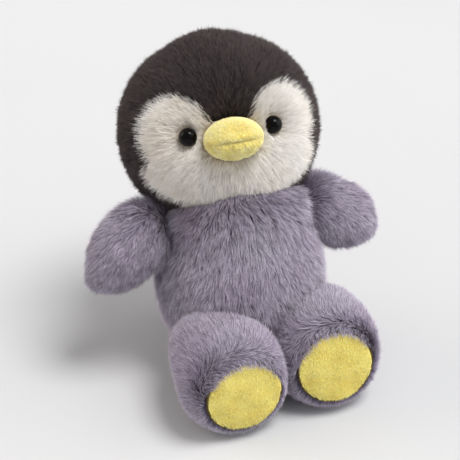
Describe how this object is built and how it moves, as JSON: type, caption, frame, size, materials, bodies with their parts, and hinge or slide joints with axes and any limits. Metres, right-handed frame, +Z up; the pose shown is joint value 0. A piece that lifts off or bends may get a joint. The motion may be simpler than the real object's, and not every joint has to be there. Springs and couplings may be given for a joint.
{
  "type": "plush penguin",
  "caption": "Sitting soft-toy penguin with a round head, white face, short beak, paddle arms and stubby legs with round soles; head, arms and legs flex and spring back.",
  "frame": {"origin": "centre of the toy's footprint box, on the surface it sits on", "axes": "+Z up, the toy faces -Y, its left side is +X"},
  "size_m": [0.1882, 0.1748, 0.1936],
  "materials": {
    "dark_pile": "matte",
    "white_pile": "matte",
    "lavender_pile": "matte",
    "yellow_velour": "matte",
    "eye_black": "gloss",
    "washer_white": "satin",
    "fibre_fill": "matte"
  },
  "bodies": {
    "body": {"belly_panel": "lavender_pile", "back_right": "lavender_pile", "back_left": "lavender_pile", "seat_panel": "lavender_pile", "body_stuffing": "fibre_fill"},
    "neck": {"neck_stuffing": "fibre_fill"},
    "head": {"face_right": "white_pile", "face_left": "white_pile", "crown_gusset": "dark_pile", "head_side_right": "dark_pile", "head_side_left": "dark_pile", "beak_upper": "yellow_velour", "beak_lower": "yellow_velour", "beak_stuffing": "fibre_fill", "eye_right": "eye_black", "eye_left": "eye_black", "eye_washer_right": "washer_white", "eye_washer_left": "washer_white", "head_stuffing": "fibre_fill"},
    "arm_right": {"arm_front_right": "lavender_pile", "arm_back_right": "lavender_pile", "arm_stuffing_right": "fibre_fill"},
    "leg_right": {"leg_upper_right": "lavender_pile", "leg_lower_right": "lavender_pile", "sole_right": "yellow_velour", "leg_stuffing_right": "fibre_fill"},
    "arm_left": {"arm_front_left": "lavender_pile", "arm_back_left": "lavender_pile", "arm_stuffing_left": "fibre_fill"},
    "leg_left": {"leg_upper_left": "lavender_pile", "leg_lower_left": "lavender_pile", "sole_left": "yellow_velour", "leg_stuffing_left": "fibre_fill"}
  },
  "joints": [
    {"name": "head_turn", "type": "hinge", "parent": "body", "child": "neck", "pos_m": [-0.00006, 0.0182, 0.10306], "axis": [0, 0.3971, 0.9178], "range_deg": [-20, 20], "stiffness_Nm_per_rad": 0.2},
    {"name": "head_nod", "type": "hinge", "parent": "neck", "child": "head", "pos_m": [-0.00006, 0.0182, 0.10306], "axis": [1, 0, 0], "range_deg": [-10, 10], "stiffness_Nm_per_rad": 0.4},
    {"name": "arm_right_lift", "type": "hinge", "parent": "body", "child": "arm_right", "pos_m": [-0.04516, 0.00259, 0.084], "axis": [0, 1, 0], "range_deg": [-12, 18], "stiffness_Nm_per_rad": 0.06},
    {"name": "arm_left_lift", "type": "hinge", "parent": "body", "child": "arm_left", "pos_m": [0.04684, 0.00259, 0.084], "axis": [0, -1, 0], "range_deg": [-12, 18], "stiffness_Nm_per_rad": 0.06},
    {"name": "leg_right_lift", "type": "hinge", "parent": "body", "child": "leg_right", "pos_m": [-0.02512, -0.04349, 0.0288], "axis": [-1, 0, 0], "range_deg": [-10, 20], "stiffness_Nm_per_rad": 0.2},
    {"name": "leg_left_lift", "type": "hinge", "parent": "body", "child": "leg_left", "pos_m": [0.03551, -0.0381, 0.02571], "axis": [-1, 0, 0], "range_deg": [-10, 20], "stiffness_Nm_per_rad": 0.2}
  ]
}
